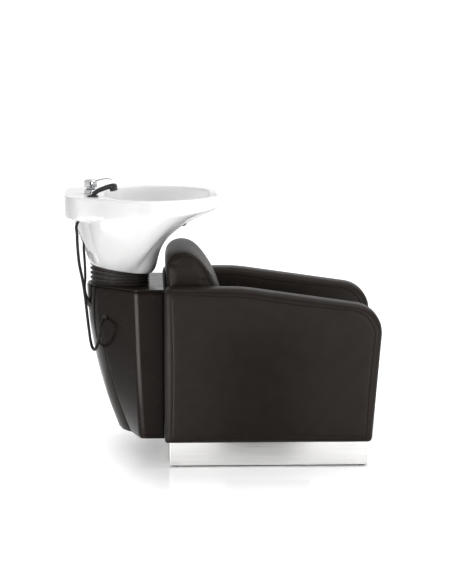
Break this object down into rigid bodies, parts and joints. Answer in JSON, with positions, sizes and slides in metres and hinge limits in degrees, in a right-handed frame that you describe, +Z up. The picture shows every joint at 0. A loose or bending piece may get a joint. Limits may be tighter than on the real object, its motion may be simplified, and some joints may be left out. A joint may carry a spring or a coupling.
{
  "type": "salon backwash unit",
  "caption": "Upholstered salon wash chair on a steel plinth, with a rear console carrying a tilting ceramic basin on a bellows collar, a lever mixer and a pull-out hand shower.",
  "frame": {"origin": "on the floor, at the middle of the unit's length and width", "axes": "+X the way the sitter faces, +Y the sitter's left, +Z up"},
  "size_m": [1.1343, 0.66, 1.015],
  "materials": {
    "upholstery": "very dark brown leather-look vinyl, satin",
    "plinth_steel": "brushed stainless steel",
    "console_gloss": "glossy dark brown moulding",
    "basin_ceramic": "white glaze",
    "chrome": "polished chrome plate",
    "black_plastic": "black moulded plastic",
    "grey_plastic": "grey moulded plastic",
    "black_rubber": "black rubber",
    "frame_paint": "black powder coat",
    "plywood": "bare plywood"
  },
  "bodies": {
    "chair_and_console": {"glide_front_left": "black_plastic", "glide_front_right": "black_plastic", "glide_rear_left": "black_plastic", "glide_rear_right": "black_plastic", "plinth_front": "plinth_steel", "plinth_left": "plinth_steel", "plinth_rear": "plinth_steel", "plinth_right": "plinth_steel", "base_board": "plywood", "back_board": "plywood", "seat_board": "plywood", "front_apron": "upholstery", "arm_left": "upholstery", "arm_right": "upholstery", "seat_cushion": "upholstery", "backrest_cushion": "upholstery", "console_floor": "console_gloss", "console_rear_cover": "console_gloss", "console_side_left": "console_gloss", "console_side_right": "console_gloss", "console_top": "console_gloss", "frame_post_left": "frame_paint", "frame_post_right": "frame_paint", "support_plate": "frame_paint", "tilt_bracket": "frame_paint", "hinge_pin_left": "plinth_steel", "hinge_pin_right": "plinth_steel", "bellows_collar": "black_rubber", "waste_hose": "black_rubber", "shower_hose": "black_rubber", "hot_supply_hose": "black_rubber", "cold_supply_hose": "black_rubber", "shower_hose_gland": "black_rubber", "hot_supply_gland": "black_rubber", "cold_supply_gland": "black_rubber"},
    "tilting_basin": {"basin": "basin_ceramic", "basin_bumper": "black_rubber", "tilt_yoke": "frame_paint", "waste_body": "chrome", "waste_nut": "grey_plastic", "hair_strainer": "chrome", "mixer_ring": "chrome", "mixer_body": "chrome", "mixer_nut": "grey_plastic", "shower_deck_ring": "black_plastic"},
    "mixer_swivel": {"mixer_cartridge": "chrome"},
    "mixer_lever": {"mixer_handle": "chrome"},
    "hand_shower": {"handset": "black_plastic", "spray_face": "grey_plastic"}
  },
  "joints": [
    {"name": "basin_tilt", "type": "hinge", "parent": "chair_and_console", "child": "tilting_basin", "pos_m": [-0.367, 0, 0.652], "axis": [0, -1, 0], "range_deg": [-6, 12], "deforming": ["bellows_collar", "shower_hose", "hot_supply_hose", "cold_supply_hose", "waste_hose"]},
    {"name": "mixer_turn", "type": "hinge", "parent": "tilting_basin", "child": "mixer_swivel", "pos_m": [-0.471, -0.055, 0.985], "axis": [0, 0, 1], "range_deg": [-30, 30]},
    {"name": "mixer_lift", "type": "hinge", "parent": "mixer_swivel", "child": "mixer_lever", "pos_m": [-0.471, -0.055, 0.985], "axis": [0, -1, 0], "range_deg": [0, 14]},
    {"name": "shower_pull", "type": "slide", "parent": "tilting_basin", "child": "hand_shower", "axis": [0.5, 0, 0.866], "range_m": [0, 0.075]}
  ]
}
